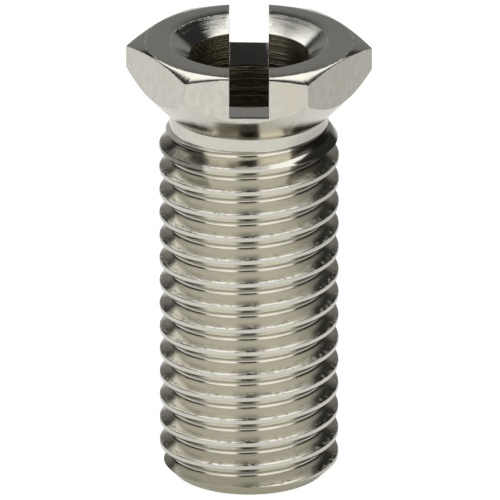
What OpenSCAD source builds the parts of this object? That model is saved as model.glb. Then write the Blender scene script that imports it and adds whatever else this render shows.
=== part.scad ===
// Hollow slotted hexagon-head screw, turned in one piece from plated brass bar.
// The screw stands on its threaded end: z = 0 is the end face, +Z points to the head.
// Two flats of the hexagon face -Y and +Y, and the screwdriver slot runs along Y.

/* [Length] */
// Overall length from the end face to the top of the head
overall_len = 28; // [22:0.5:60]

/* [Thread] */
// Outside diameter of the right-hand thread, over its crests
thread_d = 11; // [10:0.1:12.5]
// Distance from one turn to the next
pitch = 1.5; // [0.8:0.05:1.75]
// Size of the 45 degree chamfer on the threaded end
end_chamfer = 0.85; // [0.2:0.05:1.2]
// Turning angle, from +X, at which a crest meets the end face
thread_start = 119; // [0:1:359]
// How far the groove runs on above the shoulder, into the neck
groove_overrun = 0.65; // [0:0.05:1]
// Turning angle over which the groove climbs out of the work at its end
runout_turn = 130; // [40:5:300]

/* [Head] */
// Width of the hexagon bar across its flats
across_flats = 13; // [12:0.1:19]
// Height of a flat along its middle, from the top face down to the conical underside
flat_h = 2.85; // [2.6:0.05:6]
// Diameter of the top face, inside its turned chamfer
top_face_d = 12.7; // [11:0.1:13]
// Slope of the chamfer that takes the corners off the top
top_chamfer_angle = 18.5; // [5:0.5:40]
// Slope of the conical underside
underside_angle = 47; // [40:1:55]

/* [Neck] */
// How far the plain neck lies below the thread crests
neck_relief = 0.63; // [0.2:0.01:0.9]
// Length of the plain neck, from the underside cone to the shoulder of the thread
neck_len = 0.75; // [0.6:0.05:4]
// Radius of the hollow fillet between the underside and the neck
neck_fillet = 0.2; // [0.1:0.1:2.2]
// Slope of the shoulder from the neck out to the thread crests
shoulder_angle = 56; // [20:1:60]

/* [Bore] */
// Diameter of the through bore
bore_d = 7.3; // [3:0.1:7.8]
// Diameter of the countersink at the top face
countersink_d = 9.62; // [8.2:0.01:10.6]
// Depth of the countersink
countersink_depth = 0.85; // [0.4:0.05:2]

/* [Slot] */
// Width of the screwdriver slot, which is the thickness of the saw
slot_w = 2.4; // [1:0.1:4]
// Depth of the slot at its deepest point
slot_depth = 3.1; // [1:0.02:3.2]
// Radius of the saw that cuts the slot and leaves its floor hollow
saw_r = 39; // [15:1:100]
// How far behind the screw's axis the middle of the saw stands
saw_set_back = 0; // [-2:0.1:2]
// Angle between the slot and the direction square to the flats
slot_turn = 1.5; // [-10:0.5:10]

/* [Hidden] */
round_fn = 96;

// How far a cutting shape reaches past the surface it starts from
overcut = 1;

// Sixty degree thread: flat crests over round roots, both in proportion to the pitch
flank_angle = 30;
crest_w = 0.22 * pitch;
root_round = 0.15 * pitch;
thread_depth = (pitch - crest_w) / 2 / tan(flank_angle) - root_round * (1 / sin(flank_angle) - 1);
thread_r = thread_d / 2;
root_r = thread_r - thread_depth;

// The groove's outer edge lies clear of the crests, short of the next turn
groove_clear = crest_w / 2;
groove_outer_r = thread_r + groove_clear;
groove_outer_w = pitch - crest_w + 2 * groove_clear * tan(flank_angle);

// Hexagon bar
corner_r = across_flats / 2 / cos(30);
head_outer_r = corner_r + overcut;
top_face_r = top_face_d / 2;
flat_bottom_z = overall_len - flat_h;
chamfer_outer_z = overall_len - (head_outer_r - top_face_r) * tan(top_chamfer_angle);
underside_outer_z = flat_bottom_z + (head_outer_r - across_flats / 2) * tan(underside_angle);

// Neck and shoulder
neck_r = thread_r - neck_relief;
neck_top_z = flat_bottom_z - (across_flats / 2 - neck_r) * tan(underside_angle);
neck_bottom_z = neck_top_z - neck_len;
shoulder_z = neck_bottom_z - neck_relief * tan(shoulder_angle);

// The fillet touches the neck and the underside at this distance from their corner
fillet_reach = neck_fillet * tan((90 - underside_angle) / 2);

// Helical path of the groove: half a pitch off the crest, from below the end face into the neck
groove_steps = 36;
groove_phase_z = pitch / 2 - pitch * thread_start / 360;
groove_from = floor((-pitch - groove_phase_z) / pitch * groove_steps);
groove_to = ceil((neck_bottom_z + groove_overrun - groove_phase_z) / pitch * groove_steps);
runout_steps = runout_turn / 360 * groove_steps;
groove_lift = groove_outer_r - root_r;

// How far the groove has climbed out of the work at one step of its path
function lift(i) = groove_lift * max(0, 1 - (groove_to - i) / runout_steps);

// One corner of the groove's section, set at a step of the helical path
function on_helix(i, r, rise) = let (turn = 360 * i / groove_steps)
    [(r + lift(i)) * cos(turn), (r + lift(i)) * sin(turn), groove_phase_z + pitch * i / groove_steps + rise];

// A corner on the round root, where the surface faces so many degrees upwards
function on_root(i, facing) = on_helix(i, root_r + root_round * (1 - cos(facing)), -root_round * sin(facing));

// The corners of the groove's section at one step: two outside the crests, four round the root
function groove_section(i) = [
    on_helix(i, groove_outer_r, -groove_outer_w / 2),
    on_helix(i, groove_outer_r, groove_outer_w / 2),
    on_root(i, -60),
    on_root(i, -20),
    on_root(i, 20),
    on_root(i, 60)
];

// Swept solid of the thread groove
module thread_groove() {
    corners = len(groove_section(groove_from));
    sections = groove_to - groove_from;
    points = [for (i = [groove_from:groove_to]) each groove_section(i)];
    sides = [
        for (s = [0:sections - 1], c = [0:corners - 1])
            let (a = s * corners, b = a + corners, next = (c + 1) % corners)
                each [[a + c, b + next, b + c], [a + c, a + next, b + next]]
    ];
    last = sections * corners;
    ends = [
        for (c = [1:corners - 2])
            each [[c + 1, c, 0], [last, last + c, last + c + 1]]
    ];
    polyhedron(points, concat(sides, ends));
}

// Half section of the turned blank, without the neck's fillet
module blank_outline() {
    polygon([
        [0, 0],
        [thread_r - end_chamfer, 0],
        [thread_r, end_chamfer],
        [thread_r, shoulder_z],
        [neck_r, neck_bottom_z],
        [neck_r, neck_top_z],
        [head_outer_r, underside_outer_z],
        [head_outer_r, chamfer_outer_z],
        [top_face_r, overall_len],
        [0, overall_len]
    ]);
}

// Half section of the hollow fillet under the head
module fillet_outline() {
    difference() {
        polygon([
            [neck_r, neck_top_z - fillet_reach],
            [neck_r + fillet_reach * cos(underside_angle), neck_top_z + fillet_reach * sin(underside_angle)],
            [neck_r, neck_top_z]
        ]);
        translate([neck_r + neck_fillet, neck_top_z - fillet_reach])
            circle(neck_fillet, $fn = round_fn);
    }
}

// Hexagon bar turned down to the neck and the thread's outside diameter
module turned_blank() {
    intersection() {
        cylinder(h = overall_len, r = corner_r, $fn = 6);
        rotate_extrude($fn = round_fn) {
            blank_outline();
            fillet_outline();
        }
    }
}

// Through bore with its countersink
module bore_cut() {
    widening = (countersink_d - bore_d) / 2 / countersink_depth;
    translate([0, 0, -overcut])
        cylinder(h = overall_len + 2 * overcut, d = bore_d, $fn = round_fn);
    translate([0, 0, overall_len - countersink_depth])
        cylinder(
            h = countersink_depth + overcut,
            d1 = bore_d,
            d2 = countersink_d + 2 * widening * overcut,
            $fn = round_fn
        );
}

// Disc of the slitting saw at the bottom of its cut
module saw_disc() {
    rotate([0, 0, slot_turn])
        translate([0, saw_set_back, overall_len - slot_depth + saw_r])
            rotate([0, 90, 0])
                cylinder(h = slot_w, r = saw_r, center = true, $fn = round_fn);
}

// Turned blank with its bore and its slot, before the thread is cut
module drilled_blank() {
    difference() {
        turned_blank();
        bore_cut();
        saw_disc();
    }
}

module hollow_screw() {
    color("silver")
        difference() {
            drilled_blank();
            thread_groove();
        }
}

hollow_screw();
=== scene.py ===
"""Looks of a hollow slotted hexagon-head screw in nickel-plated brass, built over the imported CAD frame."""
import math
from collections import namedtuple

import bmesh
import bpy
from mathutils import Matrix, Vector


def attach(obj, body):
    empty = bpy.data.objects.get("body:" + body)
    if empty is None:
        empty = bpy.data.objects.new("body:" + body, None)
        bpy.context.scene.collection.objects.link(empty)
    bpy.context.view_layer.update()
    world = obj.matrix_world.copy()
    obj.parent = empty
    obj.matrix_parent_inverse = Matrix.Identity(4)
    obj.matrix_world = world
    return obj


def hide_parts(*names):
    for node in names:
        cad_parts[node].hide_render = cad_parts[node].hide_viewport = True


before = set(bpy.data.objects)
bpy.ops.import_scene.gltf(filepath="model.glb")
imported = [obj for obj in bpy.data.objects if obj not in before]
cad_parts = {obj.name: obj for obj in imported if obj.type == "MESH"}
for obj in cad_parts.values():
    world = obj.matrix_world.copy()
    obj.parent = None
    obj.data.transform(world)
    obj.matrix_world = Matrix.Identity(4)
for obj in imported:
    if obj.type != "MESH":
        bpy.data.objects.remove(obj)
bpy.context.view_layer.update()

# Metres in a millimetre: the screw is built in millimetres and scaled at the end
MM = 0.001

# Sizes of the screw in millimetres, as in the part's source
OVERALL_LEN = 28.0
THREAD_R = 5.5
PITCH = 1.5
THREAD_START = math.radians(119)
GROOVE_OVERRUN = 0.65
RUNOUT_TURN = math.radians(130)
END_CHAMFER = 0.85
ACROSS_FLATS = 13.0
FLAT_H = 2.85
TOP_FACE_R = 6.35
TOP_CHAMFER = math.radians(18.5)
UNDERSIDE = math.radians(47)
NECK_R = 4.87
NECK_LEN = 0.75
NECK_FILLET = 0.2
SHOULDER = math.radians(56)
BORE_R = 3.65
COUNTERSINK_R = 4.81
COUNTERSINK_DEPTH = 0.85
SLOT_W = 2.4
SLOT_DEPTH = 3.1
SAW_R = 39.0
SLOT_TURN = math.radians(1.5)

# Sixty degree thread section: flat crests, rounded above and broken below, over round roots
FLANK = math.radians(30)
CREST_UP = 0.165
CREST_DOWN = 0.22
CREST_ROUND = 0.1
BREAK_DEPTH = 0.26
BREAK_SLOPE = math.radians(45)
BREAK_ROUND = 0.02
ROOT_ROUND = 0.2
FLANK_DEPTH = (PITCH - CREST_UP - CREST_DOWN) / 2 / math.tan(FLANK)
THREAD_DEPTH = FLANK_DEPTH - ROOT_ROUND * (1 / math.sin(FLANK) - 1)

# Small breaks that only the scene has
EDGE_ROUND = 0.032
END_ROUND = 0.05
BORE_BREAK = 0.12

# Hexagon bar, left round and this much too large until its flats are cut
FLATS = 6
OVERSIZE = 1.0
HEAD_OUTER_R = ACROSS_FLATS / 2 / math.cos(math.pi / FLATS) + OVERSIZE

# Heights that follow from those sizes
FLAT_BOTTOM_Z = OVERALL_LEN - FLAT_H
NECK_TOP_Z = FLAT_BOTTOM_Z - (ACROSS_FLATS / 2 - NECK_R) * math.tan(UNDERSIDE)
NECK_BOTTOM_Z = NECK_TOP_Z - NECK_LEN
SHOULDER_Z = NECK_BOTTOM_Z - (THREAD_R - NECK_R) * math.tan(SHOULDER)
GROOVE_PHASE_Z = PITCH / 2 - PITCH * THREAD_START / math.tau
GROOVE_END_Z = NECK_BOTTOM_Z + GROOVE_OVERRUN
GROOVE_LIFT = THREAD_DEPTH + CREST_UP

# The neck's seam between head and shank, and how far each reaches into the other
SEAM_Z = NECK_TOP_Z - 0.3
STUB_LEN = 0.4
STUB_TAPER = 0.8
SEAM_OVERLAP = 0.1

# How far the thread runs on below the end face before the shank's blank cuts it off
END_OVERLAP = 0.3

# Steps of the round parts, and distances within which points are taken as one
HEAD_STEPS = 288
THREAD_STEPS = 128
THREAD_TURNS = 18
SAW_STEPS = 720
MERGE = 0.0005
SEAM_MERGE = 0.005
EDGE_MERGE = 0.015
NEAR = 0.05
FLAT_TOLERANCE, THREAD_TOLERANCE = 1e-5, 1e-6

# What lies above this height counts as the head
HEAD_Z = FLAT_BOTTOM_Z - 1.0

# Edges of the head that turn by more than this are rounded, and all that turn by less are shaded smooth
ROUNDED_ABOVE = math.radians(12)
SMOOTH_BELOW = math.radians(32)

# The screw's axis
ORIGIN, UP = (0, 0, 0), (0, 0, 1)

# Places in the screw's list of materials
TURNED, COUNTERSUNK, DRAWN, BORED, SAWN, THREADED, WORN_AND_GLINTING = range(7)

# Colours of the plate, from pale to dark; some stand for painted highlight, reflection and shade
NICKEL_CLEAN_AND_HIGHLIGHT = (0.69, 0.685, 0.64, 1.0)
NICKEL = (0.64, 0.622, 0.55, 1.0)
NICKEL_DULL = (0.575, 0.557, 0.49, 1.0)
NICKEL_PAINTED_REFLECTION = (0.64, 0.60, 0.475, 1.0)
NICKEL_PAINTED_SHADE = (0.40, 0.375, 0.30, 1.0)
END_TINT = (0.64, 0.605, 0.42, 1.0)
FLAT_STAIN = (0.60, 0.55, 0.45, 1.0)
WARM_STAIN = (0.61, 0.573, 0.48, 1.0)
WORN_GLINT_BRIGHT = (0.74, 0.72, 0.64, 1.0)
BORE_BRIGHT = (0.74, 0.7, 0.58, 1.0)
BORE_BROWN = (0.2, 0.178, 0.118, 1.0)
TORN_SHADE = (0.34, 0.325, 0.275, 1.0)
# Colour of the painted shade under the head
UNDERSIDE_SHADE_PAINT = (0.11, 0.1, 0.075, 1.0)
# Colour of the painted shade in the first groove
UNDER_HEAD_SHADE_PAINT = (0.12, 0.11, 0.085, 1.0)
WHITE = (1.0, 1.0, 1.0, 1.0)
FLOOR_GREY = (0.4, 0.4, 0.4, 1.0)

# Direction of tool marks, as the shader's anisotropic rotation
ROUND_THE_AXIS, ALONG_THE_AXIS = 0.25, 0.0

# Brightness of the room's lamps, its walls, and the floor as the camera and the metal see it
SOFT_BOX, BACK_BOX, BACK_WALL, DIM_ROOM = 1.5, 1.6, 0.21, 0.03
FLOOR_SEEN, FLOOR_MIRRORED = 0.86, 0.67

# Radius of the floor and distance of the camera in metres, and the camera's lens and film in millimetres
FLOOR_R = 3.0
CAMERA_DISTANCE = 1.0
CAMERA_LENS, CAMERA_FILM = 1176, 36

# A point of a surface, in millimetres: as a vector, and its coordinates
Spot = namedtuple("Spot", "place x y z")


class Wire:
    """An output socket that takes part in sums: each operator adds a Math node."""

    def __init__(self, finish, socket):
        self.finish = finish
        self.socket = socket

    def __add__(self, other):
        return self.finish.maths("ADD", self, other)

    def __radd__(self, other):
        return self.finish.maths("ADD", other, self)

    def __sub__(self, other):
        return self.finish.maths("SUBTRACT", self, other)

    def __rsub__(self, other):
        return self.finish.maths("SUBTRACT", other, self)

    def __mul__(self, other):
        return self.finish.maths("MULTIPLY", self, other)

    def __rmul__(self, other):
        return self.finish.maths("MULTIPLY", other, self)

    def __abs__(self):
        return self.finish.maths("ABSOLUTE", self)


class Finish:
    """A node tree under construction: node() adds one node and gives its outputs by name."""

    def __init__(self, tree):
        self.tree = tree
        tree.nodes.clear()

    def node(self, kind, settings=None, sockets=None):
        made = self.tree.nodes.new("ShaderNode" + kind)
        for name, value in (settings or {}).items():
            setattr(made, name, value)
        for name, value in (sockets or {}).items():
            if isinstance(value, Wire):
                self.tree.links.new(value.socket, made.inputs[name])
            else:
                made.inputs[name].default_value = value
        return {out.name: Wire(self, out) for out in made.outputs if out.enabled}

    def maths(self, operation, *terms):
        return self.node("Math", {"operation": operation}, dict(enumerate(terms)))["Value"]

    def ramp(self, value, low, high):
        """0 below low, 1 above high and a smooth step between."""
        sockets = {"Value": value, "From Min": low, "From Max": high}
        return self.node("MapRange", {"interpolation_type": "SMOOTHSTEP"}, sockets)["Result"]

    def band(self, value, low, rise_end, fall_start, high):
        """0 below low and above high, and 1 in the middle, with smooth steps."""
        return self.ramp(value, low, rise_end) * (1 - self.ramp(value, fall_start, high))

    def colours(self, factor, first, second):
        """A colour between two, which the Mix node takes at its sockets 6 and 7."""
        return self.node("Mix", {"data_type": "RGBA"}, {0: factor, 6: first, 7: second})["Result"]


def new_material(name):
    material = bpy.data.materials.new(name)
    material.use_nodes = True
    return material, Finish(material.node_tree)


def stretched(finish, place, scale):
    return finish.node("Mapping", None, {"Vector": place, "Scale": scale})["Vector"]


def spot_in_mm(finish):
    """The point that is being shaded."""
    metres = finish.node("TexCoord")["Object"]
    place = stretched(finish, metres, (1 / MM, 1 / MM, 1 / MM))
    axes = finish.node("SeparateXYZ", None, {"Vector": place})
    return Spot(place, axes["X"], axes["Y"], axes["Z"])


def off_axis(finish, spot):
    """How far a point lies from the screw's axis."""
    return finish.maths("SQRT", spot.x * spot.x + spot.y * spot.y)


def in_front(finish, spot):
    """1 on the front of the screw, which is the side that the photograph shows."""
    return 1 - finish.ramp(spot.y, -2.0, 0.0)


def noise(finish, spot, per_mm, detail=2.0):
    """Noise from 0 to 1 with so many grains to the millimetre, along X, Y and Z or all the same."""
    scale = per_mm if isinstance(per_mm, tuple) else (per_mm, per_mm, per_mm)
    sockets = {"Vector": stretched(finish, spot.place, scale), "Scale": 1.0, "Detail": detail}
    return finish.node("TexNoise", None, sockets)["Fac"]


def line_noise(finish, value, detail=2.0):
    """Noise from 0 to 1 along one value, with five grains to the unit."""
    sockets = {"W": value, "Scale": 5.0, "Detail": detail}
    return finish.node("TexNoise", {"noise_dimensions": "1D"}, sockets)["Fac"]


def bump(finish, height, depth, under=None):
    """Raises the surface by the height, 0 to 1, times the depth in millimetres."""
    sockets = {"Height": height, "Distance": depth * MM, "Strength": 1.0}
    if under is not None:
        sockets["Normal"] = under
    return finish.node("Bump", None, sockets)["Normal"]


def plated(finish, colour, roughness, normal, grain=0.0, marks=ROUND_THE_AXIS):
    """Closes a material as bright plate. The grain is tool marks too fine to draw."""
    sockets = {
        "Base Color": colour,
        "Metallic": 1.0,
        "Roughness": roughness,
        "Anisotropic": grain,
        "Anisotropic Rotation": marks,
        "Normal": normal,
    }
    shader = finish.node("BsdfPrincipled", None, sockets)["BSDF"]
    finish.node("OutputMaterial", None, {"Surface": shader})


def turned_plate():
    """Plate over the lathe-turned surfaces: faint rings round the axis, a warmer tint at the threaded end,
    painted shade on the conical underside of the head and ridges along the left of the shoulder."""
    material, finish = new_material("turned_nickel_plate")
    spot = spot_in_mm(finish)
    rings = line_noise(finish, off_axis(finish, spot) * 9.0 + spot.z * 7.0)
    blotches = noise(finish, spot, 0.7, detail=3.0)
    grit = noise(finish, spot, 9.0)
    # Warmer colour over the end chamfer, at the threaded end
    warmer_end = 1 - finish.ramp(spot.z, 0.9, 1.2)
    colour = finish.colours(rings * 0.4 + blotches * 0.3 + grit * 0.3, NICKEL_DULL, NICKEL)
    colour = finish.colours(warmer_end, colour, END_TINT)
    # Painted shade on the underside of the head, in front and a little to the left
    colour = finish.colours(painted_underside_shade(finish, spot) * (0.6 + 0.7 * blotches), colour, UNDERSIDE_SHADE_PAINT)
    ridged = finish.band(spot.z, 21.4, 21.7, 22.6, 22.66) * (1 - finish.ramp(spot.x, 0.0, 2.0))
    ridges = line_noise(finish, spot.z * 14.0 + blotches * 2.0)
    marks = bump(finish, rings * 0.7 + grit * 0.3, 0.0015)
    plated(finish, colour, 0.07 + 0.08 * rings, bump(finish, ridges * ridged, 0.025, marks), grain=0.6)
    return material


def painted_underside_shade(finish, spot):
    """1 where shade is painted on the conical underside, in front and a little to the left."""
    on_cone = finish.band(spot.z, 23.4, 23.7, 24.9, 25.2)
    across = finish.band(spot.x, -2.2, -1.5, 0.6, 0.9)
    return on_cone * across * in_front(finish, spot)


def countersunk_plate():
    """Plate over the countersink: the cutter's bright rings, nicked in patches."""
    material, finish = new_material("countersunk_nickel_plate")
    spot = spot_in_mm(finish)
    rings = line_noise(finish, off_axis(finish, spot) * 16.0)
    nicks = noise(finish, spot, 6.0, detail=3.0)
    rough = finish.ramp(noise(finish, spot, 0.4, detail=1.0), 0.45, 0.6)
    colour = finish.colours(rings, NICKEL, NICKEL_CLEAN_AND_HIGHLIGHT)
    marks = bump(finish, rings * 0.3 + nicks * (0.2 + rough), 0.007)
    plated(finish, colour, 0.05 + 0.05 * nicks, marks, grain=0.4)
    return material


def drawn_plate():
    """Plate over the flats of the drawn bar: a mottle drawn out along the axis, and warm stains."""
    material, finish = new_material("drawn_nickel_plate")
    spot = spot_in_mm(finish)
    streaks = noise(finish, spot, (5.0, 5.0, 0.5), detail=3.0)
    mottle = noise(finish, spot, (2.5, 2.5, 1.9), detail=3.0)
    patchy = finish.ramp(streaks * 0.3 + mottle * 0.7, 0.35, 0.68)
    stain = finish.ramp(noise(finish, spot, 0.35), 0.55, 0.75)
    on_front_flat = 1 - finish.ramp(spot.y, -6.3, -6.0)
    warm = finish.band(spot.x, 1.2, 2.6, 3.2, 3.8) * on_front_flat
    colour = finish.colours(patchy, NICKEL_DULL, NICKEL)
    colour = finish.colours(stain * 0.6, colour, FLAT_STAIN)
    colour = finish.colours(warm * (0.2 + mottle), colour, WARM_STAIN)
    marks = bump(finish, streaks * 0.4 + mottle * 0.6, 0.006)
    plated(finish, colour, 0.13 + 0.12 * streaks, marks, grain=0.5, marks=ALONG_THE_AXIS)
    return material


def bored_plate():
    """Plate inside the bore: bright crests of the boring rings on dark brown."""
    material, finish = new_material("bored_nickel_plate")
    spot = spot_in_mm(finish)
    rings = line_noise(finish, spot.z * 5.0 + noise(finish, spot, 0.25), detail=3.0)
    bright = finish.ramp(rings, 0.54, 0.66)
    colour = finish.colours(bright, BORE_BROWN, BORE_BRIGHT)
    plated(finish, colour, 0.25 - 0.1 * bright, bump(finish, rings, 0.02), grain=0.4)
    return material


def sawn_plate():
    """Plate over the sawn slot: fine lines along the saw's way, and a torn burr at the floor's front end,
    darkened between its raised tears partly by the torn metal's own grey and partly by painted shadow.
    """
    material, finish = new_material("sawn_nickel_plate")
    spot = spot_in_mm(finish)
    lines = noise(finish, spot, (9.0, 0.5, 9.0))
    floor_top_z = OVERALL_LEN - SLOT_DEPTH + 0.6
    on_floor = 1 - finish.ramp(spot.z, floor_top_z, floor_top_z + 0.05)
    burr = (1 - finish.ramp(spot.y, -6.15, -5.95)) * on_floor
    torn = finish.ramp(noise(finish, spot, (14.0, 2.5, 14.0)), 0.42, 0.60)
    colour = finish.colours(lines, NICKEL_DULL, NICKEL)
    # The burr darker between its tears: torn metal's grey and painted shadow under the burr
    colour = finish.colours(burr * (1 - finish.ramp(torn, 0.3, 0.6)), colour, TORN_SHADE)
    marks = bump(finish, lines, 0.0015)
    plated(finish, colour, 0.06 + 0.06 * lines, bump(finish, burr * torn, 0.06, marks))
    return material


def thread_phase(finish, spot):
    """Where a point lies on the thread: 0 and 1 half way up a groove, 0.5 in the middle of a crest."""
    turns = finish.maths("ARCTAN2", spot.y, spot.x) * (1 / math.tau)
    rise = spot.z * (1 / PITCH) - GROOVE_PHASE_Z / PITCH - turns
    return finish.maths("FRACT", rise)


def threaded_plate():
    """Plate over the cut thread: tool lines round the axis, painted reflection and shade on the upper
    flanks, a painted highlight on the broken edges below, crests left ragged above by the die, and painted
    shade at both sides of the first groove."""
    material, finish = new_material("threaded_nickel_plate")
    spot = spot_in_mm(finish)
    phase = thread_phase(finish, spot)
    upper_edge = finish.band(phase, 0.56, 0.60, 0.65, 0.72)
    upper_flank = finish.band(phase, 0.625, 0.65, 0.90, 0.96)
    flank_top = upper_flank * (1 - finish.ramp(phase, 0.64, 0.82))
    lower_edge = finish.band(phase, 0.06, 0.10, 0.40, 0.42)
    low_end = 1 - finish.ramp(spot.z, 1.0, 5.0)
    # Painted shade at both sides of the first groove, under the head, in front
    first_groove = finish.ramp(spot.z, 20.7, 21.1) * finish.ramp(abs(spot.x), 2.5, 2.8)
    under_head_shade = first_groove * in_front(finish, spot)
    lines = line_noise(finish, off_axis(finish, spot) * 11.0, detail=3.0)
    blotches = noise(finish, spot, 0.9, detail=3.0)
    grit = noise(finish, spot, 7.0)
    nicks = finish.ramp(noise(finish, spot, (3.5, 3.5, 9.0), detail=3.0), 0.56, 0.66)
    colour = finish.colours(lines * 0.3 + blotches * 0.4 + grit * 0.3, NICKEL_DULL, NICKEL)
    # Painted reflection: a warm beige over the upper flanks
    colour = finish.colours(upper_flank * (0.35 + 0.9 * grit), colour, NICKEL_PAINTED_REFLECTION)
    # Painted shade on the upper flanks next to the crests
    colour = finish.colours(flank_top * (0.3 + 0.9 * blotches), colour, NICKEL_PAINTED_SHADE)
    # Painted shade on the upper flanks of the lowest turns, near the floor
    colour = finish.colours(upper_flank * low_end * 0.6, colour, NICKEL_PAINTED_SHADE)
    # Painted highlight on the broken edges below the crests
    colour = finish.colours(lower_edge, colour, NICKEL_CLEAN_AND_HIGHLIGHT)
    colour = finish.colours(under_head_shade * (0.5 + 0.6 * grit), colour, UNDER_HEAD_SHADE_PAINT)
    marks = bump(finish, lines * 0.6 + grit * 0.4, 0.0035)
    ragged = bump(finish, nicks * upper_edge, 0.035, marks)
    plated(finish, colour, 0.15 + 0.06 * blotches, ragged, grain=0.85)
    return material


def worn_and_glinting_plate():
    """Plate rubbed and nicked along the edges of the head, its brightest specks painted glints."""
    material, finish = new_material("worn_glinting_nickel_plate")
    spot = spot_in_mm(finish)
    nicks = finish.ramp(noise(finish, spot, 3.5, detail=3.0), 0.45, 0.6)
    # Wear on the edges, lightened past any nickel into painted glints
    colour = finish.colours(nicks, NICKEL_DULL, WORN_GLINT_BRIGHT)
    plated(finish, colour, 0.1 + 0.08 * nicks, bump(finish, nicks, 0.05))
    return material


def as_object(bm, name, materials):
    """Makes an object of a finished bmesh, with this list of materials."""
    mesh = bpy.data.meshes.new(name)
    bm.to_mesh(mesh)
    bm.free()
    for material in materials:
        mesh.materials.append(material)
    made = bpy.data.objects.new(name, mesh)
    bpy.context.scene.collection.objects.link(made)
    return made


def carve(body, tool, operation):
    """Cuts the tool from the body, or joins or overlaps the two, and removes the tool."""
    cut = body.modifiers.new("carve", "BOOLEAN")
    cut.operation = operation
    cut.object = tool
    cut.solver = "EXACT"
    settled = bpy.data.meshes.new_from_object(body.evaluated_get(bpy.context.evaluated_depsgraph_get()))
    body.modifiers.clear()
    body.data = settled
    bpy.data.objects.remove(tool)
    return body


def half_section(bm, corners, rounds, closed=True):
    """Draws a half section in the XZ plane. Each round names a corner, its reach along the edges and the
    number of segments."""
    points = [bm.verts.new((r, 0, z)) for r, z in corners]
    ends = points[1:] + points[:1] if closed else points[1:]
    for pair in zip(points, ends):
        bm.edges.new(pair)
    for corner, reach, segments in rounds:
        bmesh.ops.bevel(bm, geom=[points[corner]], offset=reach, offset_type="OFFSET", segments=segments,
                        profile=0.5, affect="VERTICES", material=-1)


def turn(bm):
    """Spins the half section round the axis into a ring."""
    bmesh.ops.spin(bm, geom=bm.verts[:] + bm.edges[:], cent=ORIGIN, axis=UP,
                   angle=math.tau, steps=HEAD_STEPS, use_merge=True)
    bmesh.ops.remove_doubles(bm, verts=bm.verts, dist=MERGE)
    bmesh.ops.recalc_face_normals(bm, faces=bm.faces)


def mark_bore(bm):
    """Gives the bore's wall and the countersink their own finishes."""
    margin = 0.02
    for face in bm.faces:
        middle = face.calc_center_median()
        if middle.xy.length < BORE_R + margin:
            face.material_index = BORED
        elif middle.xy.length < COUNTERSINK_R - margin and middle.z > OVERALL_LEN - COUNTERSINK_DEPTH:
            face.material_index = COUNTERSUNK


def mark_all(bm, finish_index):
    for face in bm.faces:
        face.material_index = finish_index


def cut_plane(bm, place, facing, tolerance, finish_index=0, keep_above=False):
    """Cuts a mesh along a plane, drops the part that it faces, or the other part, and closes the cut."""
    cut = bmesh.ops.bisect_plane(bm, geom=bm.verts[:] + bm.edges[:] + bm.faces[:], dist=tolerance,
                                 plane_co=place, plane_no=facing,
                                 clear_inner=keep_above, clear_outer=not keep_above)
    edges = [e for e in cut["geom_cut"] if isinstance(e, bmesh.types.BMEdge)]
    bmesh.ops.edgeloop_fill(bm, edges=edges, mat_nr=finish_index)


def turn_head(bm):
    """Turns the head with its underside, bore and countersink, still round outside, on a stub of neck."""
    underside_z = FLAT_BOTTOM_Z + (HEAD_OUTER_R - ACROSS_FLATS / 2) * math.tan(UNDERSIDE)
    chamfer_z = OVERALL_LEN - (HEAD_OUTER_R - TOP_FACE_R) * math.tan(TOP_CHAMFER)
    corners = [
        (BORE_R, SEAM_Z - STUB_LEN),
        (NECK_R - STUB_TAPER, SEAM_Z - STUB_LEN),
        (NECK_R, SEAM_Z),
        (NECK_R, NECK_TOP_Z),
        (HEAD_OUTER_R, underside_z),
        (HEAD_OUTER_R, chamfer_z),
        (TOP_FACE_R, OVERALL_LEN),
        (COUNTERSINK_R, OVERALL_LEN),
        (BORE_R, OVERALL_LEN - COUNTERSINK_DEPTH),
    ]
    fillet_reach = NECK_FILLET * math.tan((math.pi / 2 - UNDERSIDE) / 2)
    half_section(bm, corners, [(3, fillet_reach, 6)])
    turn(bm)
    mark_bore(bm)


def mill_hexagon(bm):
    """Cuts the six flats."""
    for flat in range(FLATS):
        turned = Matrix.Rotation((flat + 0.5) * math.tau / FLATS, 3, "Z")
        facing = turned @ Vector((1, 0, 0))
        cut_plane(bm, facing * ACROSS_FLATS / 2, facing, FLAT_TOLERANCE, DRAWN)
    bmesh.ops.recalc_face_normals(bm, faces=bm.faces)


def saw_disc(materials):
    """The slitting saw, at the bottom of its cut."""
    bm = bmesh.new()
    bmesh.ops.create_cone(bm, cap_ends=True, segments=SAW_STEPS, radius1=SAW_R, radius2=SAW_R, depth=SLOT_W,
                          matrix=Matrix.Rotation(math.pi / 2, 4, "Y"))
    bmesh.ops.translate(bm, verts=bm.verts, vec=(0, 0, OVERALL_LEN - SLOT_DEPTH + SAW_R))
    bmesh.ops.rotate(bm, verts=bm.verts, cent=ORIGIN, matrix=Matrix.Rotation(SLOT_TURN, 3, "Z"))
    mark_all(bm, SAWN)
    return as_object(bm, "saw_disc", materials)


def thread_section(bm):
    """Draws one pitch of the thread's section, from the middle of a crest to the next."""
    low = GROOVE_PHASE_Z - 1.5 * PITCH
    break_z = low + PITCH - CREST_DOWN - BREAK_DEPTH * math.tan(FLANK)
    corners = [
        (THREAD_R, low),
        (THREAD_R, low + CREST_UP),
        (THREAD_R - FLANK_DEPTH, low + CREST_UP + FLANK_DEPTH * math.tan(FLANK)),
        (THREAD_R - BREAK_DEPTH, break_z),
        (THREAD_R, break_z + BREAK_DEPTH * math.tan(BREAK_SLOPE)),
        (THREAD_R, low + PITCH),
    ]
    crest_reach = CREST_ROUND * math.tan(FLANK)
    root_reach = ROOT_ROUND / math.tan(FLANK)
    rounds = [(1, crest_reach, 4), (2, root_reach, 8), (3, BREAK_ROUND, 2), (4, BREAK_ROUND, 2)]
    half_section(bm, corners, rounds, closed=False)


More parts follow.
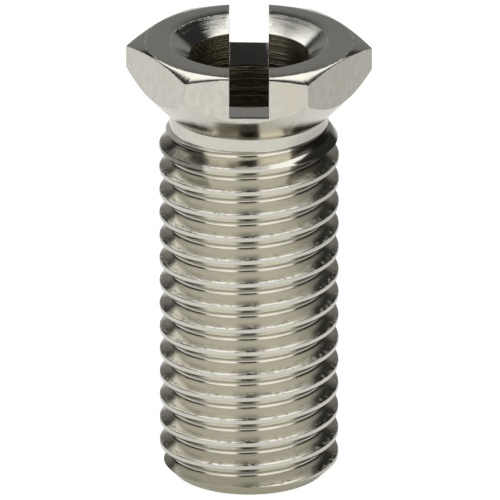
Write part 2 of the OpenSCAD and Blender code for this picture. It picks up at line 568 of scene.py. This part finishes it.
def thread_skin(materials):
    """The thread's section swept up the helix, longer than the shank and closed at both ends."""
    bm = bmesh.new()
    thread_section(bm)
    bmesh.ops.spin(bm, geom=bm.verts[:] + bm.edges[:], cent=ORIGIN, axis=UP,
                   dvec=(0, 0, PITCH / THREAD_STEPS), angle=math.tau, steps=THREAD_STEPS)
    one_turn = bm.verts[:] + bm.edges[:] + bm.faces[:]
    for turn_above in range(1, THREAD_TURNS):
        copied = bmesh.ops.duplicate(bm, geom=one_turn)["geom"]
        raised = [v for v in copied if isinstance(v, bmesh.types.BMVert)]
        bmesh.ops.translate(bm, verts=raised, vec=(0, 0, turn_above * PITCH))
    bmesh.ops.remove_doubles(bm, verts=bm.verts, dist=MERGE)
    run_out(bm)
    cut_plane(bm, (0, 0, -END_OVERLAP), UP, THREAD_TOLERANCE, keep_above=True)
    cut_plane(bm, (0, 0, NECK_TOP_Z + SEAM_OVERLAP), UP, THREAD_TOLERANCE)
    bmesh.ops.recalc_face_normals(bm, faces=bm.faces)
    mark_all(bm, THREADED)
    return as_object(bm, "thread_skin", materials)


def run_out(bm):
    """Lifts the groove out of the work over the last part of its path, as a threading tool is drawn back."""
    last = (GROOVE_END_Z - GROOVE_PHASE_Z) / PITCH
    for vert in bm.verts:
        around = math.atan2(vert.co.y, vert.co.x) / math.tau
        path = around + round((vert.co.z - GROOVE_PHASE_Z) / PITCH - around)
        climbed = min(1.0, max(0.0, 1 - (last - path) * math.tau / RUNOUT_TURN))
        vert.co.xy += vert.co.xy.normalized() * GROOVE_LIFT * climbed


def rod_blank(materials):
    """The shank before threading: end chamfer, shoulder, neck and bore. It stands clear of the crests, and
    its neck and bore clear the head's by a hair, so that the joined surfaces don't coincide."""
    bm = bmesh.new()
    crest_r = THREAD_R + 0.02
    neck_r = NECK_R - 0.002
    bore_r = BORE_R + 0.01
    corners = [
        (bore_r, BORE_BREAK),
        (bore_r + BORE_BREAK, 0),
        (THREAD_R - END_CHAMFER, 0),
        (crest_r, END_CHAMFER + crest_r - THREAD_R),
        (crest_r, SHOULDER_Z - (crest_r - THREAD_R) * math.tan(SHOULDER)),
        (neck_r, NECK_BOTTOM_Z),
        (neck_r, SEAM_Z + SEAM_OVERLAP),
        (bore_r, SEAM_Z + SEAM_OVERLAP),
    ]
    half_section(bm, corners, [(2, END_ROUND, 2)])
    turn(bm)
    mark_bore(bm)
    return as_object(bm, "rod_blank", materials)


def close_seam(bm):
    """Draws the neck's two stubs into one surface where the head meets the shank."""
    seam = [v for v in bm.verts if abs(v.co.z - SEAM_Z) < NEAR and v.co.xy.length > NECK_R - NEAR]
    bmesh.ops.remove_doubles(bm, verts=seam, dist=SEAM_MERGE)


def round_edges(bm):
    """Breaks the sharp edges of the head, apart from those of the bore."""
    crowded = [v for v in bm.verts if v.co.z > HEAD_Z]
    bmesh.ops.remove_doubles(bm, verts=crowded, dist=EDGE_MERGE)
    sharp = [e for e in bm.edges if len(e.link_faces) == 2 and e.calc_face_angle(0) > ROUNDED_ABOVE
             and min(v.co.z for v in e.verts) > HEAD_Z
             and max(v.co.xy.length for v in e.verts) > BORE_R + NEAR]
    rounded = bmesh.ops.bevel(bm, geom=sharp, offset=EDGE_ROUND, offset_type="OFFSET", segments=2,
                              profile=0.5, affect="EDGES", clamp_overlap=False, material=-1)
    for face in rounded["faces"]:
        # The rounded edges take the worn plate with its painted glints
        face.material_index = WORN_AND_GLINTING


def shade(screw):
    """Shades round surfaces smooth, keeps real edges sharp and flat faces flat."""
    for face in screw.data.polygons:
        face.use_smooth = True
    screw.data.set_sharp_from_angle(angle=SMOOTH_BELOW)
    shading = screw.modifiers.new("flat_faces", "WEIGHTED_NORMAL")
    shading.keep_sharp = True
    shading.thresh = 0.0
    shading.weight = 100


def make_screw():
    """Builds the screw as one closed mesh in the frame's metres."""
    materials = [turned_plate(), countersunk_plate(), drawn_plate(), bored_plate(), sawn_plate(),
                 threaded_plate(), worn_and_glinting_plate()]
    bm = bmesh.new()
    turn_head(bm)
    mill_hexagon(bm)
    head = carve(as_object(bm, "head", materials), saw_disc(materials), "DIFFERENCE")
    rod = carve(thread_skin(materials), rod_blank(materials), "INTERSECT")
    screw = carve(rod, head, "UNION")
    bm = bmesh.new()
    bm.from_mesh(screw.data)
    close_seam(bm)
    round_edges(bm)
    bmesh.ops.scale(bm, vec=(MM, MM, MM), verts=bm.verts)
    bmesh.ops.recalc_face_normals(bm, faces=bm.faces)
    bm.to_mesh(screw.data)
    bm.free()
    shade(screw)
    screw.name = "plated_screw"
    return screw


def make_floor():
    """A white floor that keeps the screw's shadow. Mirrored in the metal, it carries painted shade: it dims
    behind, to the right and far out at both sides, and close under the screw it holds a painted contact
    shadow."""
    bm = bmesh.new()
    bmesh.ops.create_circle(bm, cap_ends=True, segments=64, radius=FLOOR_R)
    material, finish = new_material("white_floor")
    spot = spot_in_mm(finish)
    around = off_axis(finish, spot)
    # Painted shade, seen only in the metal: dimmer to the right, behind and far out at both sides
    to_right = finish.ramp(spot.x * 0.9 + spot.y * 0.42, 20, 70)
    behind = finish.ramp(spot.y, 0, 40) * (1 - to_right)
    far_aside = finish.ramp(abs(spot.x), 80, 160)
    # Painted contact shadow, seen only in the metal: dim close under the screw
    painted_contact_shade = 0.4 + 0.5 * finish.ramp(around, 5.2, 7.5) + 0.1 * finish.ramp(around, 7.5, 25)
    mirrored = (FLOOR_MIRRORED - 0.34 * to_right - 0.1 * behind - 0.28 * far_aside) * painted_contact_shade
    path = finish.node("LightPath")
    seen = path["Is Camera Ray"] + path["Is Transmission Ray"]
    strength = seen * FLOOR_SEEN + path["Is Glossy Ray"] * mirrored
    paper = finish.node("BsdfDiffuse", None, {"Color": FLOOR_GREY})["BSDF"]
    glow = finish.node("Emission", None, {"Color": WHITE, "Strength": strength})["Emission"]
    both = finish.node("AddShader", None, {0: paper, 1: glow})["Shader"]
    finish.node("OutputMaterial", None, {"Surface": both})
    as_object(bm, "floor", [material])


def studio():
    """The room by direction, in degrees: azimuth 0 is the camera's side, positive to its right."""
    world = bpy.data.worlds.new("studio")
    bpy.context.scene.world = world
    world.use_nodes = True
    sky = Finish(world.node_tree)
    way = sky.node("SeparateXYZ", None, {"Vector": sky.node("TexCoord")["Generated"]})
    azimuth = sky.maths("DEGREES", sky.maths("ARCTAN2", way["X"], 0 - way["Y"]))
    height = sky.maths("DEGREES", sky.maths("ARCSINE", way["Z"]))
    aside = abs(azimuth)

    def between(value, low, high, soft=4):
        """1 between two angles, with edges so many degrees soft."""
        return sky.band(value, low - soft / 2, low + soft / 2, high - soft / 2, high + soft / 2)

    # The front lamps meet overhead, and leave a dark gap over the camera
    overhead = sky.ramp(height, 56, 64)
    gap_above = sky.band(way["X"], -0.18, -0.14, 0.075, 0.105)
    gap = between(azimuth, -18.5, 12.2, soft=3) * (1 - overhead) + gap_above * overhead
    raised = 11.5 * sky.ramp(aside, 32, 58)
    front = between(azimuth, -71, 71, soft=3) * sky.ramp(height - raised, -2.9, 1.1)
    left_top = between(azimuth, -114, -71, soft=3) * sky.ramp(height, 35, 39)
    right_top = between(azimuth, 71, 119, soft=3) * sky.ramp(height, 44, 48)
    slanted_end = 1 - sky.ramp(height + aside, 173, 178)
    left_back = between(azimuth, -142, -117, soft=3) * sky.ramp(height, 22, 26) * slanted_end
    boxes = (front + left_top + left_back + right_top) * (1 - gap)

    # The lamp behind reaches lower at both its ends
    back_box = sky.ramp(aside, 150, 154) * between(height, 44, 63)
    back_ends = between(aside, 152, 164) * between(height, 34, 44)
    back_wall = sky.ramp(aside, 146, 154) * between(height, -2, 26)
    light = DIM_ROOM + SOFT_BOX * boxes + BACK_BOX * (back_box + back_ends) + BACK_WALL * back_wall
    glow = sky.node("Background", None, {"Color": WHITE, "Strength": light})["Background"]
    sky.node("OutputWorld", None, {"Surface": glow})


def make_camera():
    """A long lens from the photograph's side, a little above the screw."""
    aim = Vector((0.00006, 0, 0.0143))
    azimuth, elevation = math.radians(1.5), math.radians(21.7)
    level = math.cos(elevation)
    back = Vector((math.sin(azimuth) * level, -math.cos(azimuth) * level, math.sin(elevation)))
    camera = bpy.data.objects.new("camera", bpy.data.cameras.new("camera"))
    bpy.context.scene.collection.objects.link(camera)
    camera.location = aim + back * CAMERA_DISTANCE
    camera.rotation_mode = "QUATERNION"
    camera.rotation_quaternion = (-back).to_track_quat("-Z", "Y")
    camera.data.sensor_width = CAMERA_FILM
    camera.data.lens = CAMERA_LENS
    camera.data.clip_start, camera.data.clip_end = 0.1, 10
    bpy.context.scene.camera = camera


screw = make_screw()
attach(screw, "root")
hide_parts("hollow_screw")
make_floor()
studio()
make_camera()
bpy.context.scene.view_settings.view_transform = "Standard"
